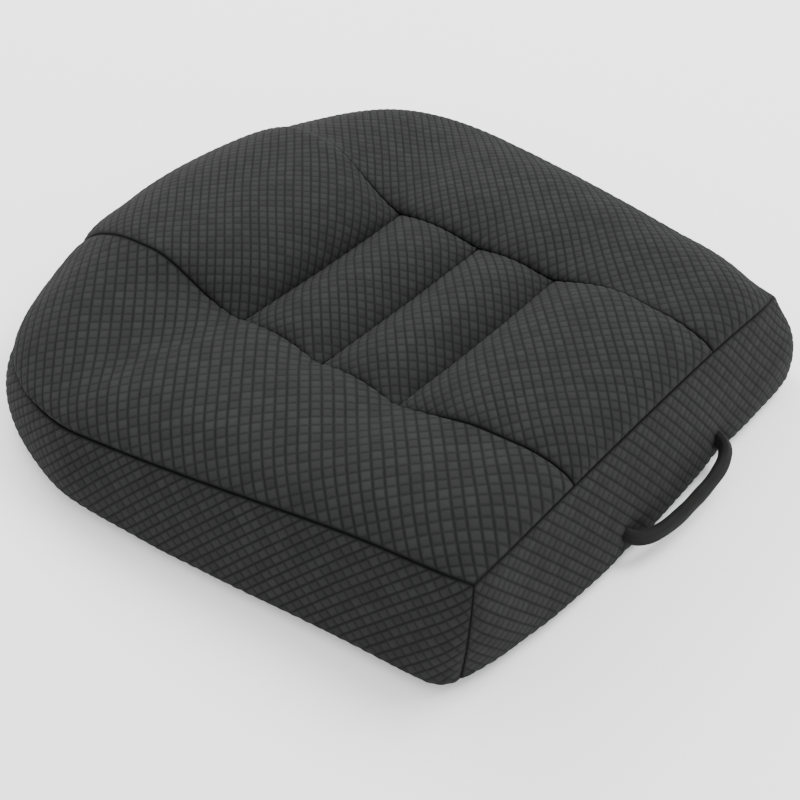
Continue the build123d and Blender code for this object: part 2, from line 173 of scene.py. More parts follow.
# Foam: loops by their height on the wall, or by their share of the width
FOAM_INSET = 6.5
FOAM_DROP = 8.5            # from the upper surface to the foam's
FOAM_BASE_HEIGHTS = (4, 6, 9, 13, 20, FOAM_SPLIT - 0.2)
FOAM_TOP_HEIGHTS = (FOAM_SPLIT, FOAM_SPLIT + 3)
FOAM_TOP_SHARES = (0.985, 0.96, 0.93, 0.9, 0.86, 0.8, 0.74, 0.68, 0.62,
                   0.56, 0.5, 0.44, 0.38, 0.3, 0.22, 0.14, 0.06)
MIDDLE_Y = 10.0            # where the loops shrink to

# Bottom
BOTTOM_SLOPE = math.radians(49.0)  # lean of the wall's round foot at the bottom's edge
BOTTOM_FOOT = ((0.3, 7.0), (0.8, 5.0), (1.7, 2.9))  # height and inset of its loops
BOTTOM_FLAT = 10.0
BOTTOM_TOP_Z = 3.4

# Handle
HANDLE_X = 23.0
HANDLE_Z = 19.5
HANDLE_HINGE_Y = -222.0
HANDLE_ROOT_Y = -210.0     # where the strap ends, inside the wall
HANDLE_REACH = 18.5
HANDLE_HALF = 52.0
HANDLE_SQUARE = 2.7        # power of the bow's rounded square
HANDLE_DROOP = math.radians(6.0)
HANDLE_RINGS = 200
STRAP_DEEP = 4.5           # half sizes of the strap's section
STRAP_TALL = 4.9

# Zip coils
COIL_HALF_ANGLE = 37.7
COIL_U = -1.5              # a coil's centre, outwards and up from the zip's middle line
COIL_V = 1.9
COIL_TURNS = 312
COIL_STEPS = 10
COIL_WIRE = 0.4
COIL_DEEP = 0.95           # half sizes of a coil's section
COIL_TALL = 1.2

ARC_Y = FRONT_Y - FRONT_R
SHOULDER_Y = ARC_Y + math.sqrt(FRONT_R**2 - SHOULDER_X**2)
BACK_CENTRE_Y = BACK_Y + BACK_R
BACK_CORNER_Y = BACK_CENTRE_Y - math.sqrt(BACK_R**2 - BACK_CORNER_X**2)
SIDE = np.array([SHOULDER_X - BACK_CORNER_X, SHOULDER_Y - BACK_CORNER_Y])
SIDE /= np.linalg.norm(SIDE)
SIDE_OUT = np.array([SIDE[1], -SIDE[0]])
BACK_CORNER = np.array([BACK_CORNER_X, BACK_CORNER_Y])


def ramp(value, start, end):
    """A smooth step from 0 at start to 1 at end."""
    t = np.clip((value - start) / (end - start), 0, 1)
    return t * t * (3 - 2 * t)


def dome(t):
    """A quarter circle from 0 at t = 0 to 1 at t = 1."""
    return np.sqrt(1 - (1 - np.clip(t, 0, 1))**2)


# ---------------------------------------------------------------- plan outline
# Angles round the outline run from 0 at the back's middle through 90 degrees at the right.

def arc_centre(big_centre_y, big_radius, radius, end):
    """Centre of an arc that touches the side line and a big arc from inside."""
    across = (BACK_CORNER - (0, big_centre_y)) @ SIDE_OUT - radius
    reach = math.sqrt((big_radius - radius)**2 - across**2)
    return across * SIDE_OUT + end * reach * SIDE + (0, big_centre_y)


def heading(vector):
    """Angle of a direction from the centre towards the outline."""
    return math.atan2(vector[0], -vector[1])


FRONT_CORNER = arc_centre(ARC_Y, FRONT_R, FRONT_CORNER_R, 1)
ROUND_CORNER = arc_centre(BACK_CENTRE_Y, BACK_R, BACK_CORNER_R, -1)
SIDE_ANGLE = heading(SIDE_OUT)
BACK_ANGLE = heading(ROUND_CORNER - (0, BACK_CENTRE_Y))
FRONT_ANGLE = heading(FRONT_CORNER - (0, ARC_Y))


def arc(centre, radius, start, end):
    """Points and inward normals along an arc, without its last point."""
    angle = np.linspace(start, end, int(abs(end - start) * radius / DENSE) + 2)[:-1]
    outwards = np.stack([np.sin(angle), -np.cos(angle)], 1)
    return np.array(centre) + radius * outwards, -outwards


def side_line(start, end):
    """Points and inward normals along the straight side, without its last point."""
    t = np.linspace(0, 1, int(np.linalg.norm(end - start) / DENSE) + 2)[:-1, None]
    return start + (end - start) * t, np.repeat(-SIDE_OUT[None], len(t), 0)


def forward_outline(start):
    """The floor outline of the right half from a point of the side line to the front's middle."""
    pieces = [
        side_line(start, FRONT_CORNER + FRONT_CORNER_R * SIDE_OUT),
        arc(FRONT_CORNER, FRONT_CORNER_R, SIDE_ANGLE, FRONT_ANGLE),
        arc((0, ARC_Y), FRONT_R, FRONT_ANGLE, math.pi),
        (np.array([[0, FRONT_Y]]), np.array([[0, -1.0]])),
    ]
    return [np.concatenate(part) for part in zip(*pieces)]


def floor_outline():
    """The floor outline of the right half from the back's middle to the front's middle."""
    pieces = [
        arc((0, BACK_CENTRE_Y), BACK_R, 0, BACK_ANGLE),
        arc(ROUND_CORNER, BACK_CORNER_R, BACK_ANGLE, SIDE_ANGLE),
        forward_outline(ROUND_CORNER + BACK_CORNER_R * SIDE_OUT),
    ]
    return [np.concatenate(part) for part in zip(*pieces)]


def edge_distance(x, y):
    """How far points lie inside the plan outline at floor level, at the sides and front."""
    x = np.abs(x)
    side = (BACK_CORNER_X - x) * SIDE_OUT[0] + (BACK_CORNER_Y - y) * SIDE_OUT[1]
    front = FRONT_R - np.hypot(x, y - ARC_Y)
    dx = x - FRONT_CORNER[0]
    dy = y - FRONT_CORNER[1]
    past_side = dx * SIDE[0] + dy * SIDE[1] > 0
    past_front = FRONT_CORNER[0] * dy - (FRONT_CORNER[1] - ARC_Y) * dx < 0
    corner = FRONT_CORNER_R - np.hypot(dx, dy)
    return np.where(past_side & past_front, corner, np.minimum(side, front))


def seam_z(x, y):
    """Height of the seam round the upper edge, which rises a little in the middle of the back."""
    crown = SEAM_CROWN * ramp(-y, *CROWN_RANGE) * (1 - np.clip(x / BACK_SEAM_X, -1, 1)**2)
    return SEAM_BACK_Z - SEAM_FALL * (y - SEAM_BACK_Y) + crown


def seam_inset(y):
    """How far the upper edge seam lies inside the floor outline."""
    level = SEAM_BACK_Z - SEAM_FALL * (y - SEAM_BACK_Y)
    return level * LEAN + WAIST * ramp(y, *WAIST_START) * (1 - ramp(y, *WAIST_END))


def upper_seam():
    """Right half of the upper edge seam in plan, from the back's middle to the front's middle."""
    back_y = SEAM_BACK_Y + seam_inset(SEAM_BACK_Y) * SIDE_OUT[1]
    start = BACK_CORNER + SIDE * ((back_y - BACK_CORNER_Y) / SIDE[1])
    points, normals = forward_outline(start)
    seam = points.copy()
    for _ in range(4):
        seam = points + normals * seam_inset(seam[:, 1])[:, None]
    count = int(seam[0, 0] / DENSE)
    back = np.stack([np.linspace(0, seam[0, 0], count + 1)[:-1], np.full(count, seam[0, 1])], 1)
    return np.concatenate([back, seam]), count


# ---------------------------------------------------------------- upper surface

def insert_half(y):
    """Half width of the centre insert."""
    flare = INSERT_FLARE * (ramp(y, *FLARE_FRONT) - ramp(-y, *FLARE_REAR))
    return INSERT_HALF + flare - SCALLOP_IN * between_grooves(y)


def between_grooves(y):
    """0 at the grooves and beyond them, and 1 halfway between two."""
    rear, middle, front = GROOVES
    phase = np.where(y < middle, (y - rear) / (middle - rear), (y - middle) / (front - middle))
    return np.sin(math.pi * np.clip(phase, 0, 1))


def valley_line(y):
    """Height of the hollow's straight floor."""
    return VALLEY_Z - VALLEY_FALL * (y - VALLEY_Y)


def valley_z(y):
    """Height of the long seams, which rise towards both ends and a little between the grooves."""
    low = valley_line(y) + SCALLOP * between_grooves(y)
    low += VALLEY_REAR_RISE * ramp(-y, *VALLEY_REAR)
    return low + VALLEY_FRONT_RISE * ramp(y, *VALLEY_FRONT)


def centre_z(y):
    """Height of the centre line: two lobes with two rolls between them."""
    low = valley_line(y) - GROOVE_DROP
    rear, middle, front = GROOVES
    rear_lobe = low + REAR_LOBE[0] * dome((rear - y) / REAR_LOBE[1])
    front_lobe = low + FRONT_LOBE[0] * dome((y - front) / FRONT_LOBE[1])
    z = np.where(y < rear, rear_lobe, front_lobe)
    for start, end in ((rear, middle), (middle, front)):
        phase = np.clip((y - start) / (end - start), 0, 1)
        roll = low + ROLL_RISE * np.sin(math.pi * phase)**ROLL_FULLNESS
        z = np.where((y >= start) & (y <= end), roll, z)
    return z


def bolster_rise(y):
    """How far the bolsters' crest stands over the upper edge seam."""
    return BOLSTER_RISE + FRONT_RISE * ramp(y, *FRONT_RANGE)


def roll_width(y):
    """Width of the rolled edge at the sides and front."""
    return SIDE_ROLL + (FRONT_ROLL - SIDE_ROLL) * ramp(y, *ROLL_RANGE)


def top_z(x, y):
    """Height of the upper surface."""
    edge = seam_z(x, y)
    inside = edge_distance(x, y) - seam_inset(y)
    half = insert_half(y)
    across = np.abs(x) / half
    insert = valley_z(y) + (centre_z(y) - valley_z(y)) * (1 - np.clip(across, 0, 1)**4)
    flank = dome((across - 1) * half / FLANK)
    bolster = valley_z(y) + (edge + bolster_rise(y) - valley_z(y)) * flank
    body = np.where(across < 1, insert, bolster)
    softness = SIDE_SOFTNESS + (FRONT_SOFTNESS - SIDE_SOFTNESS) * ramp(y, *FRONT_RANGE)
    side = dome(inside / roll_width(y))**softness
    back = dome((y - SEAM_BACK_Y) / BACK_ROLL)**BACK_SOFTNESS
    return edge + (body - edge) * side * back


# ---------------------------------------------------------------- grids

def lengths(points):
    """Cumulative length along the second axis of a grid of points."""
    step = np.linalg.norm(np.diff(points, axis=1), axis=2)
    return np.concatenate([np.zeros((len(points), 1)), np.cumsum(step, axis=1)], axis=1)


def even(points, count):
    """The grid with its second axis resampled to count even steps in space."""
    out = np.empty((points.shape[0], count + 1, points.shape[2]))
    run = lengths(points[:, :, :3])
    for row in range(points.shape[0]):
        target = np.linspace(0, run[row, -1], count + 1)
        for axis in range(points.shape[2]):
            out[row, :, axis] = np.interp(target, run[row], points[row, :, axis])
    return out


def even_down(points):
    """The grid with its first axis resampled to even steps of about GRID down its middle."""
    columns = points.swapaxes(0, 1)
    middle = columns.shape[0] // 2
    length = lengths(columns[middle:middle + 1, :, :3])[0, -1]
    return even(columns, steps_for(length)).swapaxes(0, 1)


def steps_for(length):
    """Steps of about GRID along a length, as a multiple of BLOCK."""
    return max(BLOCK, int(round(length / GRID / BLOCK)) * BLOCK)


def curve_at(curve, fractions):
    """Points of a polyline at fractions of its length."""
    run = lengths(curve[None])[0]
    target = np.asarray(fractions) * run[-1]
    return np.stack([np.interp(target, run, curve[:, a]) for a in range(curve.shape[1])], 1)


def coons(bottom, top, left, right, across, along):
    """A patch in plan between four boundary curves; rows run from bottom to top."""
    u = np.linspace(0, 1, across)
    v = np.linspace(0, 1, along)
    low, high = curve_at(bottom, u), curve_at(top, u)
    near, far = curve_at(left, v), curve_at(right, v)
    uu, vv = u[None, :, None], v[:, None, None]
    ruled_v = (1 - vv) * low[None] + vv * high[None]
    ruled_u = (1 - uu) * near[:, None] + uu * far[:, None]
    corners = ((1 - uu) * (1 - vv) * low[0] + uu * (1 - vv) * low[-1]
               + (1 - uu) * vv * high[0] + uu * vv * high[-1])
    return ruled_v + ruled_u - corners


def grid_normals(points):
    """Unit normals of a grid of points."""
    along_rows = np.gradient(points, axis=1)
    along_columns = np.gradient(points, axis=0)
    normal = np.cross(along_rows, along_columns)
    return normal / np.linalg.norm(normal, axis=2, keepdims=True)


# ---------------------------------------------------------------- materials

def nodes_of(name):
    """A new material with its node tree, its shader and a helper that adds nodes."""
    material = bpy.data.materials.new(name)
    material.use_nodes = True
    tree = material.node_tree
    shader = tree.nodes["Principled BSDF"]

    def add(kind, *inputs, **settings):
        node = tree.nodes.new(kind)
        for key, value in settings.items():
            setattr(node, key, value)
        for socket, value in enumerate(inputs):
            if value is None:
                continue
            if isinstance(value, bpy.types.NodeSocket):
                tree.links.new(value, node.inputs[socket])
            else:
                node.inputs[socket].default_value = value
        return node.outputs[0]

    return material, shader, add


def math_of(add):
    """Short forms of the arithmetic nodes."""
    def op(kind):
        return lambda *values: add("ShaderNodeMath", *values, operation=kind)
    return op("ADD"), op("MULTIPLY"), op


def finish_material(material, shader, add, colour, grey, rough, height, strength, depth,
                    **values):
    """Wire up a shader: colour times grey, roughness and bump from nodes, the rest as values."""
    links = material.node_tree.links
    scaled = add("ShaderNodeVectorMath", colour, None, None, grey, operation="SCALE")
    links.new(scaled, shader.inputs["Base Color"])
    links.new(rough, shader.inputs["Roughness"])
    for label, value in values.items():
        shader.inputs[label.replace("_", " ")].default_value = value
    bump = material.node_tree.nodes.new("ShaderNodeBump")
    bump.inputs["Strength"].default_value = strength
    bump.inputs["Distance"].default_value = depth
    links.new(height, bump.inputs["Height"])
    links.new(bump.outputs[0], shader.inputs["Normal"])
    return material


def quilted_fabric(name, shade, line_tone_and_painted_shade):
    """Charcoal jersey with an embossed diamond lattice, fine yarns and a soft nap; its lattice
    lines are darker, partly from the yarn's own tone and partly from painted shade in their
    grooves.
    """
    material, shader, add = nodes_of(name)
    plus, times, op = math_of(add)
    absolute, nearest, minus, larger, below = (
        op(kind) for kind in ("ABSOLUTE", "ROUND", "SUBTRACT", "MAXIMUM", "FLOOR"))
    uv = add("ShaderNodeUVMap", uv_map="fabric")
    split = add("ShaderNodeSeparateXYZ", uv).node
    a, b = (times(split.outputs[axis], 1 / (CELL * MM)) for axis in (0, 1))
    lines = [add("ShaderNodeMapRange", absolute(minus(across, nearest(across))), 0.02, 0.23,
                 depth, 0.0, interpolation_type="SMOOTHSTEP")
             for across, depth in ((a, STRONG), (b, WEAK))]
    cell = add("ShaderNodeCombineXYZ", below(a), below(b))
    tone = add("ShaderNodeTexWhiteNoise", cell, noise_dimensions="3D")
    patch = add("ShaderNodeTexNoise", uv, None, 22.0, 3.0, 0.6)
    fuzz = add("ShaderNodeTexNoise", uv, None, 900.0, 2.0, 0.7)
    warp, weft = (add("ShaderNodeTexWave", uv, 520.0, 1.2, 2.0, bands_direction=axis)
                  for axis in "XY")
    yarn = times(warp, weft)
    grey = plus(plus(times(tone, 0.22), times(patch, 0.35)), times(fuzz, 0.5))
    grey = plus(grey, times(yarn, 0.12))
    grey = add("ShaderNodeMapRange", grey, 0.25, 0.9, 0.65, 1.35)
    # patchy strength of the lattice lines' darkness, which is partly painted shade in their
    # grooves
    line_patches = add("ShaderNodeMapRange", patch, 0.3, 0.7, 0.8, 1.0)
    at_seam = add("ShaderNodeAttribute", attribute_name="seam").node.outputs["Fac"]
    # where the darker line colour goes: the lattice lines, partly painted groove shade, and the
    # seam lines
    line = larger(times(larger(*lines), line_patches), at_seam)
    grey = times(grey, minus(1.0, times(at_seam, 0.7)))
    mix = add("ShaderNodeMix", line, None, None, None, None, None, (*shade, 1), (*line_tone_and_painted_shade, 1),
              data_type="RGBA").node
    rough = add("ShaderNodeMapRange", fuzz, 0.3, 0.7, 0.78, 0.95)
    height = plus(times(fuzz, 0.6), times(yarn, 0.4))
    return finish_material(material, shader, add, mix.outputs[2], grey, rough, height, 0.6, 0.0003,
                           Specular_IOR_Level=0.06, Sheen_Weight=0.01, Sheen_Roughness=0.5,
                           Sheen_Tint=(0.8, 0.82, 0.8, 1))


def woven(name, shade, pitch, contrast=0.25, sheen=0.05, depth=0.0002, gloss=0.3):
    """A plain woven or grained material laid out in object space."""
    material, shader, add = nodes_of(name)
    plus, times, _ = math_of(add)
    place = material.node_tree.nodes.new("ShaderNodeTexCoord").outputs["Object"]
    scale = 0.16 / (pitch * MM)
    threads = [add("ShaderNodeTexWave", place, scale, 0.6, 1.0, bands_direction=axis)
               for axis in "XYZ"]
    cloud = add("ShaderNodeTexNoise", place, None, 60.0, 4.0, 0.6)
    fuzz = add("ShaderNodeTexNoise", place, None, 1400.0, 2.0, 0.6)
    yarn = times(plus(plus(threads[0], threads[1]), threads[2]), 1 / 3)
    grey = plus(plus(times(yarn, 0.5), times(cloud, 0.5)), times(fuzz, 0.3))
    grey = add("ShaderNodeMapRange", grey, 0.3, 0.95, 1 - contrast, 1 + contrast)
    rough = add("ShaderNodeMapRange", fuzz, 0.3, 0.7, 0.72, 0.88)
    height = plus(yarn, times(fuzz, 0.5))
    return finish_material(material, shader, add, shade, grey, rough, height, 0.7, depth,
                           Sheen_Weight=sheen, Specular_IOR_Level=gloss)


def hard(name, shade, metallic, rough):
    """Moulded plastic or enamelled metal with fine worn patches in its gloss."""
    material, shader, add = nodes_of(name)
    place = material.node_tree.nodes.new("ShaderNodeTexCoord").outputs["Object"]
    cloud = add("ShaderNodeTexNoise", place, None, 300.0, 4.0, 0.65)
    grey = add("ShaderNodeMapRange", cloud, 0.3, 0.7, 0.8, 1.2)
    spread = add("ShaderNodeMapRange", cloud, 0.3, 0.7, rough - 0.1, rough + 0.12)
    return finish_material(material, shader, add, shade, grey, spread, cloud, 0.25, 0.0001,
                           Metallic=metallic)


SHADE = (0.0170, 0.0178, 0.0172)
# colour of the lattice lines: the yarn's darker tone plus painted shade in their grooves
LINE_TONE_AND_PAINTED_SHADE = (0.0065, 0.0069, 0.0067)
quilt_material = quilted_fabric("quilted_fabric", SHADE, LINE_TONE_AND_PAINTED_SHADE)
strap_material = woven("strap_fabric", (0.0095, 0.0099, 0.0095), 0.7, sheen=0.02, gloss=0.08)
grip_material = woven("nonslip_fabric", (0.012, 0.012, 0.0125), 2.4, depth=0.0006)
tape_material = woven("zip_tape", (0.010, 0.010, 0.0105), 0.8, sheen=0.02, gloss=0.1)
coil_material = hard("zip_coil", (0.010, 0.010, 0.0105), 0.0, 0.5)
metal_material = hard("zip_metal", (0.020, 0.020, 0.021), 0.3, 0.42)
listing_material = woven("listing_tape", (0.6, 0.6, 0.58), 1.0)
firm_material = woven("foam_firm", (0.35, 0.36, 0.38), 1.6, contrast=0.4, sheen=0.0, depth=0.0005)
soft_material = woven("foam_soft", (0.75, 0.72, 0.62), 1.3, contrast=0.2, sheen=0.0, depth=0.0005)


# ---------------------------------------------------------------- meshes

def to_object(name, points, faces, material, uv=None, at_seam=None):
    """A smooth mesh object from points in millimetres, with fabric coordinates as its UV map."""
    mesh = bpy.data.meshes.new(name)
    mesh.from_pydata((points * MM).tolist(), [], faces)
    if uv is not None:
        layer = mesh.uv_layers.new(name="fabric")
        loops = np.empty(len(mesh.loops), dtype=np.int64)
        mesh.loops.foreach_get("vertex_index", loops)
        layer.data.foreach_set("uv", (uv[loops] * MM).ravel())
    if at_seam is not None:
        mesh.attributes.new("seam", "FLOAT", "POINT").data.foreach_set("value", at_seam)
    mesh.polygons.foreach_set("use_smooth", [True] * len(mesh.polygons))
    mesh.materials.append(material)
    mesh.update()
    obj = bpy.data.objects.new(name, mesh)
    bpy.context.scene.collection.objects.link(obj)
    return obj


def grid_faces(rows, columns, first=0, flip=False):
    """Quads of a grid whose points are numbered row by row."""
    r, c = np.meshgrid(np.arange(rows - 1), np.arange(columns - 1), indexing="ij")
    a = (first + r * columns + c).ravel()
    quads = np.stack([a, a + 1, a + columns + 1, a + columns], 1)
    return (quads[:, ::-1] if flip else quads).tolist()


def rim_loop(rows, columns, step):
    """Grid indices round the border of a grid, every step points."""
    last_r, last_c = rows - 1, columns - 1
    loop = [(0, c) for c in range(0, last_c, step)]
    loop += [(r, last_c) for r in range(0, last_r, step)]
    loop += [(last_r, c) for c in range(last_c, 0, -step)]
    loop += [(r, 0) for r in range(last_r, 0, -step)]
    return loop


def laminate(name, outer, inner, fabric, at_seam, material, flip):
    """A closed piece from a fine outer face and a coarse inner face, joined round their rims."""
    rows, columns = outer.shape[:2]
    inner_rows, inner_columns = inner.shape[:2]
    points = np.concatenate([outer.reshape(-1, 3), inner.reshape(-1, 3)])
    uv = np.concatenate([fabric.reshape(-1, 2), fabric[::BLOCK, ::BLOCK].reshape(-1, 2)])
    first = rows * columns
    faces = grid_faces(rows, columns) + grid_faces(inner_rows, inner_columns, first, flip=True)
    outer_loop = [r * columns + c for r, c in rim_loop(rows, columns, 1)]
    inner_loop = [first + r * inner_columns + c
                  for r, c in rim_loop(inner_rows, inner_columns, 1)]
    half = BLOCK // 2
    for i, here in enumerate(inner_loop):
        after = inner_loop[(i + 1) % len(inner_loop)]
        fan = [outer_loop[(i * BLOCK + k) % len(outer_loop)] for k in range(BLOCK + 1)]
        faces += [(fan[k + 1], fan[k], here) for k in range(half)]
        faces.append((fan[half], here, after))
        faces += [(fan[k + 1], fan[k], after) for k in range(half, BLOCK)]
    if flip:
        faces = [face[::-1] for face in faces]
    at_seam = np.concatenate([at_seam.ravel(), at_seam[::BLOCK, ::BLOCK].ravel()])
    return to_object(name, points, faces, material, uv, at_seam)


# ---------------------------------------------------------------- cover panels

def cubic_weights(coarse, step):
    """Matrix that carries values on every step-th grid line to all lines, smoothly."""
    fine = (coarse - 1) * step + 1
    position = np.arange(fine) / step
    cell = np.minimum(position.astype(int), coarse - 2)
    f = position - cell
    shares = [-f * (1 - f)**2 / 2, (2 - 5 * f**2 + 3 * f**3) / 2,
              (f + 4 * f**2 - 3 * f**3) / 2, -f**2 * (1 - f) / 2]
    weights = np.zeros((fine, coarse))
    for offset, share in zip((-1, 0, 1, 2), shares):
        np.add.at(weights, (np.arange(fine), np.clip(cell + offset, 0, coarse - 1)), share)
    return weights


def neighbours(grid):
    """The sum of the four neighbours of each inner point of a grid."""
    return grid[:-2, 1:-1] + grid[2:, 1:-1] + grid[1:-1, :-2] + grid[1:-1, 2:]


def settle(name, grid, slack):
    """How a stuffed cover panel shifts under its filling's pressure, held along its seams."""
    rows, columns = grid.shape[:2]
    obj = to_object(name + "_sim", grid.reshape(-1, 3), grid_faces(rows, columns), quilt_material)
    rim = [r * columns + c for r, c in rim_loop(rows, columns, 1)]
    obj.vertex_groups.new(name="pin").add(rim, 1.0, "REPLACE")
    cloth = obj.modifiers.new("cloth", "CLOTH")
    settings = cloth.settings
    settings.quality = 6
    settings.mass = 0.2
    settings.tension_stiffness = 25
    settings.compression_stiffness = 12
    settings.shear_stiffness = 8
    settings.bending_stiffness = 4
    settings.air_damping = 2
    settings.shrink_min = -slack
    settings.vertex_group_mass = "pin"
    settings.use_pressure = True
    settings.uniform_pressure_force = SIM_PRESSURE
    settings.effector_weights.gravity = 0
    cloth.point_cache.frame_start = 1
    cloth.point_cache.frame_end = SIM_FRAMES
    scene = bpy.context.scene
    for step in range(1, SIM_FRAMES + 1):
        scene.frame_set(step)
    settled = obj.evaluated_get(bpy.context.evaluated_depsgraph_get())
    moved = np.empty(rows * columns * 3)
    settled.data.vertices.foreach_get("co", moved)
    scene.frame_set(1)
    mesh = obj.data
    bpy.data.objects.remove(obj)
    bpy.data.meshes.remove(mesh)
    shift = moved.reshape(grid.shape) / MM - grid
    for _ in range(SIM_ROUNDS):
        shift[1:-1, 1:-1] = neighbours(shift) / 4
    size = np.linalg.norm(shift, axis=2, keepdims=True)
    return shift * SIM_LIMIT / (SIM_LIMIT + size)


def lattice(fabric):
    """Rise of the embossed lattice, 0 in its deep lines to 1 on its cells."""
    total = np.ones(fabric.shape[:2])
    for axis, depth in ((0, STRONG), (1, WEAK)):
        phase = fabric[..., axis] / CELL
        offset = np.abs(phase - np.round(phase)) * 2
        total *= 1 - depth * (1 - offset)**3
    return total


def turned(fabric, degrees):
    """Fabric coordinates across the lattice's deep lines and across its shallow ones."""
    c, s = math.cos(math.radians(degrees)), math.sin(math.radians(degrees))
    x, y = fabric[..., 0], fabric[..., 1]
    return np.stack([c * x + s * y, c * y - s * x], 2)


def border_gaps(points):
    """Distances of each grid point from the first and last row and the first and last column."""
    across = lengths(points)
    along = lengths(points.swapaxes(0, 1)).swapaxes(0, 1)
    return along, along[-1:] - along, across, across[:, -1:] - across


def sculpt(points):
    """The cushion's uneven places: soft bumps and dimples laid over its regular shape."""
    out = points.copy()
    for centre, radius, push in BUMPS:
        away = np.sum((points - centre)**2, axis=-1, keepdims=True) / radius**2
        out += np.array(push) * np.exp(-away)
    out[..., 2] = np.maximum(out[..., 2], 0)
    return out


def panel(name, base, normals, fabric, cell=CELL, turn=-BIAS, pull=0.0, folds=(), mirror=False,
          slack=0.02, corners=()):
    """One padded panel of the cover: its seams pulled in, its face settled and quilted.

    Sides are numbered as border_gaps gives them. The sides in folds are folded edges, not seams,
    and corners gives the direction of the cover's face at a side that two walls share.
    """
    fabric = turned(fabric, turn) * (CELL / cell)
    gaps = border_gaps(base)
    for side, direction in corners:
        share = np.exp(-gaps[side] / CORNER_REACH)[..., None]
        normals = normals * (1 - share) + np.array(direction) * share
        normals = normals / np.linalg.norm(normals, axis=2, keepdims=True)
    seam = np.minimum.reduce([gap for side, gap in enumerate(gaps) if side not in folds])
    rim = np.minimum.reduce(gaps)
    emboss = CELL_RISE * lattice(fabric)
    lift = SEAM_SHARP * (1 - np.exp(-rim / SEAM_SHARP_REACH))
    lift += SEAM_SOFT * (1 - np.exp(-seam / SEAM_SOFT_REACH)) - pull
    lift += emboss * (1 - np.exp(-rim / CELL_REACH))
    outer = base + normals * lift[..., None]
    plain = base + normals * (lift - emboss)[..., None]
    coarse = settle(name, plain[::SIM_STEP, ::SIM_STEP], slack)
    across = cubic_weights(coarse.shape[1], SIM_STEP)
    along = cubic_weights(coarse.shape[0], SIM_STEP)
    outer += np.einsum("ij,jkc,lk->ilc", along, coarse, across)
    inner = (base - normals * (COVER + pull))[::BLOCK, ::BLOCK]
    if mirror:
        outer, inner = outer * (-1, 1, 1), inner * (-1, 1, 1)
    else:
        fabric = fabric * (1, -1)
    at_seam = np.exp(-(seam / SEAM_LINE)**2)
    obj = laminate(name, sculpt(outer), sculpt(inner), fabric, at_seam, quilt_material, mirror)
    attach(obj, "cushion")
    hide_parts(name)


def top_normals(points):
    """Unit normals of the upper surface at points on it."""
    x, y = points[..., 0], points[..., 1]
    slope_x = (top_z(x + PROBE, y) - top_z(x - PROBE, y)) / (2 * PROBE)
    slope_y = (top_z(x, y + PROBE) - top_z(x, y - PROBE)) / (2 * PROBE)
    normal = np.stack([-slope_x, -slope_y, np.ones_like(x)], 2)
    return normal / np.linalg.norm(normal, axis=2, keepdims=True)


def smoothed(grid):
    """A grid of directions, evened out and made unit length again."""
    for _ in range(3):
        padded = np.pad(grid, ((1, 1), (1, 1), (0, 0)), mode="edge")
        grid = (neighbours(padded) + 2 * grid) / 6
    return grid / np.linalg.norm(grid, axis=2, keepdims=True)


seam, seam_corner = upper_seam()
seam_run = seam[seam_corner:]
halfway = len(seam_run) // 2
off_insert = np.abs(seam_run[halfway:, 0] - insert_half(seam_run[halfway:, 1]))
insert_end = halfway + int(np.argmin(off_insert))
front_seam = seam_run[insert_end:][::-1]


def level(y):
    """An edge straight across the insert."""
    return lambda u: np.full_like(u, y)


def groove(y, bow):
    """A groove's edge, which may bow backwards in the middle."""
    return lambda u: y - bow * (1 - u**2)


def front_edge(u):
    """Position along Y of the upper seam across the front."""
    return np.interp(np.abs(u * INSERT_FRONT_X), front_seam[:, 0], front_seam[:, 1])


def insert_panel(name, start, end):
    """A panel of the centre insert between two edges.

    Each edge is a pair: where it lies along Y, and where the surface's height is taken.
    """
    rows, columns = INSERT_SAMPLES
    u = np.linspace(-1, 1, columns)[None, :]
    v = np.linspace(0, 1, rows)[:, None]
    y, flat = (low(u) + (high(u) - low(u)) * v for low, high in zip(start, end))
    x = u * insert_half(y)
    base = np.stack([x, y, top_z(x * INSIDE, flat), flat], 2)
    base = even_down(even(base, steps_for(2 * INSERT_HALF)))
    flat = base[..., 3]
    base = base[..., :3]
    normals = smoothed(top_normals(np.stack([base[..., 0] * INSIDE, flat], 2)))
    across = lengths(base)
    along = lengths(base.swapaxes(0, 1)).swapaxes(0, 1)
    middle = float(np.mean(base[..., 1]))
    fabric = np.stack([across - across[:, -1:] / 2, middle + along - along[-1:] / 2], 2)
    panel(name, base, normals, fabric, cell=INSERT_CELL, slack=0.025)


edges = [(level(SEAM_BACK_Y), level(SEAM_BACK_Y))]
edges += [(groove(y, bow), level(y)) for y, bow in zip(GROOVES, GROOVE_BOWS)]
edges += [(front_edge, front_edge)]
names = ("top_panel_rear", "top_roll_rear", "top_roll_front", "top_panel_front")
for name, start, end in zip(names, edges, edges[1:]):
    insert_panel(name, start, end)


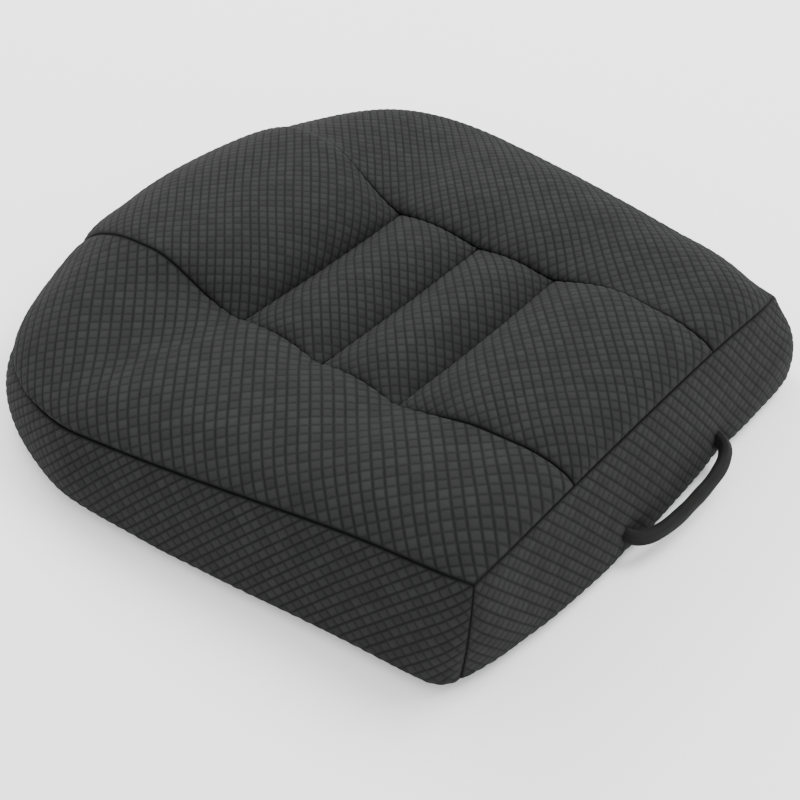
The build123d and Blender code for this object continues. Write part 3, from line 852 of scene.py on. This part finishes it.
def bolster():
    """Both side bolsters of the top."""
    rows, columns = BOLSTER_SAMPLES
    long_y = np.linspace(SEAM_BACK_Y, seam_run[insert_end, 1], rows - 1)
    inner = np.stack([insert_half(long_y), long_y], 1)
    inner[-1] = seam_run[insert_end]
    back = np.array([[insert_half(SEAM_BACK_Y), SEAM_BACK_Y], seam_run[0]])
    corner = int(np.argmin(np.abs(seam_run[:, 1] - BOLSTER_CORNER_Y)))
    outer = seam_run[:corner + 1]
    front = seam_run[corner:insert_end + 1][::-1]
    plan = coons(back, front, inner, outer, columns, rows)
    z = top_z(plan[..., 0] * OUTSIDE, plan[..., 1])
    dense = np.concatenate([plan, z[..., None]], 2)
    width = lengths(dense[rows // 2:rows // 2 + 1])[0, -1]
    base = even_down(even(dense, steps_for(width)))
    normals = smoothed(top_normals(base * (OUTSIDE, 1, 1)))
    x, y = base[..., 0], base[..., 1]
    # fabric runs further out than its place in plan, by the extra length of the surface's slopes
    inside = np.maximum(edge_distance(x, y) - seam_inset(y), 0)
    roll = roll_width(y)
    rise = bolster_rise(y) + 4
    extra = 0.75 * (np.hypot(roll, rise) - roll) + 0.25 * rise
    extra = extra * np.clip(1 - inside / roll, 0, 1)**3
    out_x = -(edge_distance(x + PROBE, y) - edge_distance(x - PROBE, y)) / (2 * PROBE)
    out_y = -(edge_distance(x, y + PROBE) - edge_distance(x, y - PROBE)) / (2 * PROBE)
    drop = np.maximum(seam_z(x, y) + bolster_rise(y) - valley_z(y), 0)
    inward = 0.5 * (np.hypot(FLANK_STEEP, drop) - FLANK_STEEP)
    inward = inward * np.clip(1 - (x - insert_half(y)) / FLANK, 0, 1)**2
    fabric = np.stack([x + out_x * extra - inward, y + out_y * extra], 2)
    panel("bolster_right", base, normals, fabric, cell=INSERT_CELL)
    panel("bolster_left", base, normals, fabric, cell=BOLSTER_CELL, turn=BIAS, mirror=True)


bolster()

# Boxing: the upright walls, between the upper seam and the seam at the floor
girth, girth_in = floor_outline()
girth = girth + girth_in * GIRTH_INSET
girth_corner = int(np.argmin(np.linalg.norm(girth - CORNER_SEAM, axis=1)))


def at_angle(curve, angle):
    """Index of the curve's point at an angle from +Y round the front arc's centre."""
    from_front = np.degrees(np.arctan2(curve[:, 0], curve[:, 1] - ARC_Y))
    return int(np.argmin(np.abs(from_front - angle)))


girth_front = at_angle(girth, FRONT_HALF_ANGLE)
seam_front = at_angle(seam, FRONT_HALF_ANGLE)


def outward(curve, ends=(None, None)):
    """Unit outward normals of a plan curve, turned towards given directions at its ends."""
    tangent = np.gradient(curve, axis=0)
    normal = np.stack([tangent[:, 1], -tangent[:, 0]], 1)
    normal /= np.linalg.norm(normal, axis=1, keepdims=True)
    run = lengths(curve[None])[0]
    for direction, gap in zip(ends, (run, run[-1] - run)):
        if direction is not None:
            share = np.exp(-gap / CORNER_BLEND)[:, None]
            normal = normal * (1 - share) + np.array(direction) * share
    return normal / np.linalg.norm(normal, axis=1, keepdims=True)


def wall(upper, lower, columns, z_range, bulge, ends=(None, None)):
    """A grid on the wall between the upper seam's curve and the girth's; rows run downwards."""
    fractions = np.linspace(0, 1, columns)
    top, low = curve_at(upper, fractions), curve_at(lower, fractions)
    out = outward(low, ends)
    seam_height = seam_z(top[:, 0], top[:, 1]) + SEAM_LIFT * WALL_SIN
    top = top + outward(top, ends) * SEAM_LIFT * WALL_COS
    start, end = z_range
    v = np.linspace(0, 1, WALL_SAMPLES)[:, None]
    high = seam_height if start is None else np.full(columns, start)
    z = high + (end - high) * v
    w = np.clip((z - GIRTH_Z) / (seam_height - GIRTH_Z), 0, 1)[..., None]
    below = np.clip(BASE_ROUND - z, 0, BASE_ROUND)
    fillet = (BASE_ROUND - np.sqrt(BASE_ROUND**2 - below**2))[..., None]
    plan = low + (top - low) * w + out * (bulge * 4 * w * (1 - w) - fillet)
    return np.concatenate([plan, z[..., None]], 2)


def wall_panel(upper, lower, z_range, bulge, ends=(None, None)):
    """The surface, normals and fabric coordinates of one panel of the boxing."""
    length = lengths(lower[None])[0, -1]
    columns = steps_for(length) + 1
    base = even_down(wall(upper, lower, columns, z_range, bulge, ends))
    normals = -smoothed(grid_normals(base))
    along = lengths(base)
    down = lengths(base.swapaxes(0, 1)).swapaxes(0, 1)
    middle = along[:, -1:] / 2
    fabric = np.stack([along - middle + length / 2, -down], 2)
    return base, normals, fabric


def over_middle(half):
    """A curve of the right half that ends at the middle, carried on over the left half."""
    flip = np.where(np.arange(half.shape[1]) == 0, -1, 1)
    return np.concatenate([half, (half[::-1] * flip)[1:]])


corner_out = np.array([math.sin(CORNER_HEADING), -math.cos(CORNER_HEADING), CORNER_RISE])
corner_out /= np.linalg.norm(corner_out)
corner_left = corner_out * (-1, 1, 1)

side = wall_panel(seam[seam_corner:seam_front + 1], girth[girth_corner:girth_front + 1],
                  (None, BOTTOM_SEAM_Z), BULGE, (corner_out[:2], None))
for name, turn, mirror in (("boxing_right", -BIAS, False), ("boxing_left", BIAS, True)):
    panel(name, *side, cell=BOXING_CELL, turn=turn, pull=SEAM_LIFT, mirror=mirror, slack=0.015,
          corners=((2, corner_out),))

rear_upper = over_middle(seam[:seam_corner + 1][::-1])[::-1]
rear_lower = over_middle(girth[:girth_corner + 1][::-1])[::-1]
rear = wall_panel(rear_upper, rear_lower, (None, BOTTOM_SEAM_Z), BULGE,
                  (corner_left[:2], corner_out[:2]))
panel("boxing_rear", *rear, cell=BOXING_CELL, turn=REAR_BIAS, pull=SEAM_LIFT, slack=0.015,
      corners=((2, corner_left), (3, corner_out)))

zip_rise = ZIP_EDGE * WALL_COS
for name, z_range, fold in (("boxing_front_upper", (None, ZIP_Z + zip_rise), 1),
                            ("boxing_front_lower", (ZIP_Z - zip_rise, BOTTOM_SEAM_Z), 0)):
    strip = wall_panel(over_middle(seam[seam_front:]), over_middle(girth[girth_front:]),
                       z_range, 0.0)
    panel(name, *strip, pull=SEAM_LIFT, folds=(fold,), slack=0.01)


# ---------------------------------------------------------------- foam and bottom

def closed_loops(name, loops, material):
    """A closed piece from loops of equal length, with a fan over its first and last loop."""
    count = len(loops[0])
    centres = [np.mean(loops[0], axis=0), np.mean(loops[-1], axis=0)]
    points = np.concatenate(loops + [np.array(centres)])
    wrapped = [[k * count + i for i in range(count)] + [k * count] for k in range(len(loops))]
    faces = []
    for low, high in zip(wrapped, wrapped[1:]):
        faces += [(low[i], low[i + 1], high[i + 1], high[i]) for i in range(count)]
    first, last = len(points) - 2, len(points) - 1
    faces += [(wrapped[0][i + 1], wrapped[0][i], first) for i in range(count)]
    faces += [(wrapped[-1][i], wrapped[-1][i + 1], last) for i in range(count)]
    points = sculpt(points)
    return to_object(name, points, faces, material, points[:, :2])


def wall_loops(heights, inset):
    """Loops round the wall at some heights, set in by inset; None is the upper seam's height."""
    out = []
    for height in heights:
        ring = wall(seam, girth, WALL_SAMPLES, (height, 0), 0.0)[0]
        normals = outward(ring[:, :2])
        normals[0], normals[-1] = (0, -1), (0, 1)
        ring[:, :2] -= normals * inset
        out.append(over_middle(ring)[:-1])
    return out


def shrunk(loop, share, height):
    """A loop drawn in towards the middle, put on the surface that height gives."""
    middle = np.array([0, MIDDLE_Y])
    plan = middle + (loop[:, :2] - middle) * share
    return np.concatenate([plan, height(plan[:, 0], plan[:, 1])[:, None]], 1)


foam_rim = wall_loops((None,), FOAM_INSET)[0]
foam_rim[:, 2] -= FOAM_INSET
foam_crown = [shrunk(foam_rim, share, lambda x, y: top_z(x, y) - FOAM_DROP)
              for share in FOAM_TOP_SHARES]
foam_walls = wall_loops(FOAM_TOP_HEIGHTS, FOAM_INSET)
foam_top = closed_loops("foam_top", foam_walls + [foam_rim] + foam_crown, soft_material)
foam_base = closed_loops("foam_base", wall_loops(FOAM_BASE_HEIGHTS, FOAM_INSET), firm_material)
for piece, name, finish in ((foam_top, "foam_top", "foam_soft"),
                            (foam_base, "foam_base", "foam_firm")):
    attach(piece, "cushion")
    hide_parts(name)


def floor_loop(inset, z):
    """A loop round the bottom's edge, set in by inset and put at height z."""
    loop = wall_loops((BOTTOM_SEAM_Z,), inset)[0]
    loop[:, 2] = z
    return loop


def flat_loops(shares, z):
    """Loops across the bottom at height z, each by its share of the flat part's width."""
    flat = floor_loop(BOTTOM_FLAT, z)
    return [shrunk(flat, share, lambda x, y: np.full_like(x, z)) for share in shares]


bottom = closed_loops(
    "bottom_panel",
    flat_loops((0.25, 0.5, 0.75, 0.9, 1.0), 0.0)
    + [floor_loop(inset, z) for z, inset in BOTTOM_FOOT]
    + [floor_loop(SEAM_LIFT * math.sin(BOTTOM_SLOPE), BOTTOM_SEAM_Z)]
    + flat_loops((1.0, 0.9, 0.25), BOTTOM_TOP_Z),
    grip_material)
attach(bottom, "cushion")
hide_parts("bottom_panel")


# ---------------------------------------------------------------- handle

def tube(path, sides, radii, material, name):
    """A closed tube along a path; radii has each ring's half widths, ripple and ripple's turn."""
    tangent = np.gradient(path, axis=0)
    tangent /= np.linalg.norm(tangent, axis=1, keepdims=True)
    out = np.cross(tangent, np.array([0, 0, 1.0]))
    out /= np.linalg.norm(out, axis=1, keepdims=True)
    up = np.cross(out, tangent)
    angle = np.linspace(0, 2 * math.pi, sides + 1)[:-1]
    rings = []
    for k in range(len(path)):
        wide, tall, ripple, turn = radii[k]
        scale = 1 + ripple * np.cos(4 * angle + turn) + 0.6 * ripple * np.cos(7 * angle - turn)
        rings.append(path[k] + out[k] * (np.cos(angle) * wide * scale)[:, None]
                     + up[k] * (np.sin(angle) * tall * scale)[:, None])
    count = len(angle)
    points = np.concatenate(rings + [path[:1], path[-1:]])
    run = lengths(path[None])[0]
    uv = np.stack([np.repeat(run, count), np.tile(angle * 5, len(path))], 1)
    uv = np.concatenate([uv, [[0, 0], [run[-1], 0]]])
    faces = []
    for k in range(len(path) - 1):
        a, b = k * count, (k + 1) * count
        faces += [(a + i, a + (i + 1) % count, b + (i + 1) % count, b + i) for i in range(count)]
    first, last = len(points) - 2, len(points) - 1
    faces += [((i + 1) % count, i, first) for i in range(count)]
    top = (len(path) - 1) * count
    faces += [(top + i, top + (i + 1) % count, last) for i in range(count)]
    return to_object(name, points, faces, material, uv)


bow_angle = np.linspace(0, math.pi, 2 * HANDLE_RINGS)
squared = 2 / HANDLE_SQUARE
bow_x = HANDLE_X + HANDLE_HALF * np.sign(np.cos(bow_angle)) * np.abs(np.cos(bow_angle))**squared
bow_y = HANDLE_ROOT_Y - HANDLE_REACH * np.abs(np.sin(bow_angle))**squared
droop = np.maximum(HANDLE_HINGE_Y - bow_y, 0) * math.tan(HANDLE_DROOP)
along_bow = np.linspace(0, 1, HANDLE_RINGS)
bow = curve_at(np.stack([bow_x, bow_y, HANDLE_Z - droop], 1), along_bow)
to_end = np.exp(-np.minimum(along_bow, 1 - along_bow) * 14)
radii = np.stack([
    STRAP_DEEP - 1.2 * to_end + 0.15 * np.sin(along_bow * 31),
    STRAP_TALL + 1.8 * to_end + 0.15 * np.sin(along_bow * 43 + 1),
    0.025 + 0.09 * to_end,
    along_bow * 5,
], 1)
strap = tube(bow, 48, radii, strap_material, "handle_strap")
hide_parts("handle_strap", "handle_end_left", "handle_end_right")
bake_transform(strap)


# ---------------------------------------------------------------- zip coils

def on_wall(angle, u, v):
    """Points on the leaning front wall, u outwards from it and v up it from the zip's middle."""
    radius = FRONT_R - ZIP_Z * LEAN + u * WALL_COS - v * WALL_SIN
    height = ZIP_Z + u * WALL_SIN + v * WALL_COS
    return np.stack([radius * np.sin(angle), ARC_Y + radius * np.cos(angle), height], 1)


for name, side in (("zipper_coil_upper", 1), ("zipper_coil_lower", -1)):
    steps = COIL_TURNS * COIL_STEPS
    turn = np.linspace(0, 2 * math.pi * COIL_TURNS, steps) + (0 if side > 0 else math.pi)
    sweep = np.radians(np.linspace(-COIL_HALF_ANGLE, COIL_HALF_ANGLE, steps))
    wire = on_wall(sweep, COIL_U + COIL_DEEP * np.cos(turn),
                   side * COIL_V + COIL_TALL * np.sin(turn))
    thin = np.tile([COIL_WIRE, COIL_WIRE, 0.0, 0.0], (steps, 1))
    coil = tube(wire, 5, thin, coil_material, name)
    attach(coil, "cushion")
    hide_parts(name)


# ---------------------------------------------------------------- small parts kept from the CAD

KEPT = {
    "zipper_tape_upper": tape_material,
    "zipper_tape_lower": tape_material,
    "zipper_stops": metal_material,
    "zipper_slider": metal_material,
    "zipper_pull": metal_material,
    "groove_listing_rear": listing_material,
    "groove_listing_middle": listing_material,
    "groove_listing_front": listing_material,
    "seam_listing_left": listing_material,
    "seam_listing_right": listing_material,
}
for node, material in KEPT.items():
    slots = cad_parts[node].material_slots
    for place in slots:
        place.material = material
    if not slots:
        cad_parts[node].data.materials.append(material)


# ---------------------------------------------------------------- stage

pale, pale_shader, _ = nodes_of("pale_floor")
pale_shader.inputs["Base Color"].default_value = (0.93, 0.93, 0.93, 1)
pale_shader.inputs["Roughness"].default_value = 0.9
bpy.ops.mesh.primitive_plane_add(size=12)
floor = bpy.context.object
floor.name = "floor"
floor.data.materials.append(pale)

world = bpy.data.worlds.new("studio")
bpy.context.scene.world = world
world.use_nodes = True
sky = world.node_tree.nodes["Background"]
sky.inputs["Color"].default_value = (1, 1, 1, 1)
sky.inputs["Strength"].default_value = 2.0


def light(name, place, size, power):
    """A round soft light that faces the cushion."""
    data = bpy.data.lights.new(name, "AREA")
    data.shape = "DISK"
    data.size = size
    data.energy = power
    obj = bpy.data.objects.new(name, data)
    obj.location = place
    direction = Vector((0, 0, 0.05)) - Vector(place)
    obj.rotation_euler = direction.to_track_quat("-Z", "Y").to_euler()
    bpy.context.scene.collection.objects.link(obj)


light("key", (0.9, -0.5, 1.6), 0.9, 34)
light("rim", (0.6, 1.5, 1.3), 1.2, 33)

# Camera solved from the photograph
camera_data = bpy.data.cameras.new("camera")
camera_data.lens = 54.5
camera_data.sensor_width = 36
camera = bpy.data.objects.new("camera", camera_data)
camera.location = (-0.4560, -0.4065, 0.5887)
right = Vector((0.66320, -0.74842, 0.00613))
up = Vector((0.53056, 0.47589, 0.70146))
back = right.cross(up)
camera.rotation_euler = Matrix((right, up, back)).transposed().to_euler()
bpy.context.scene.collection.objects.link(camera)
bpy.context.scene.camera = camera
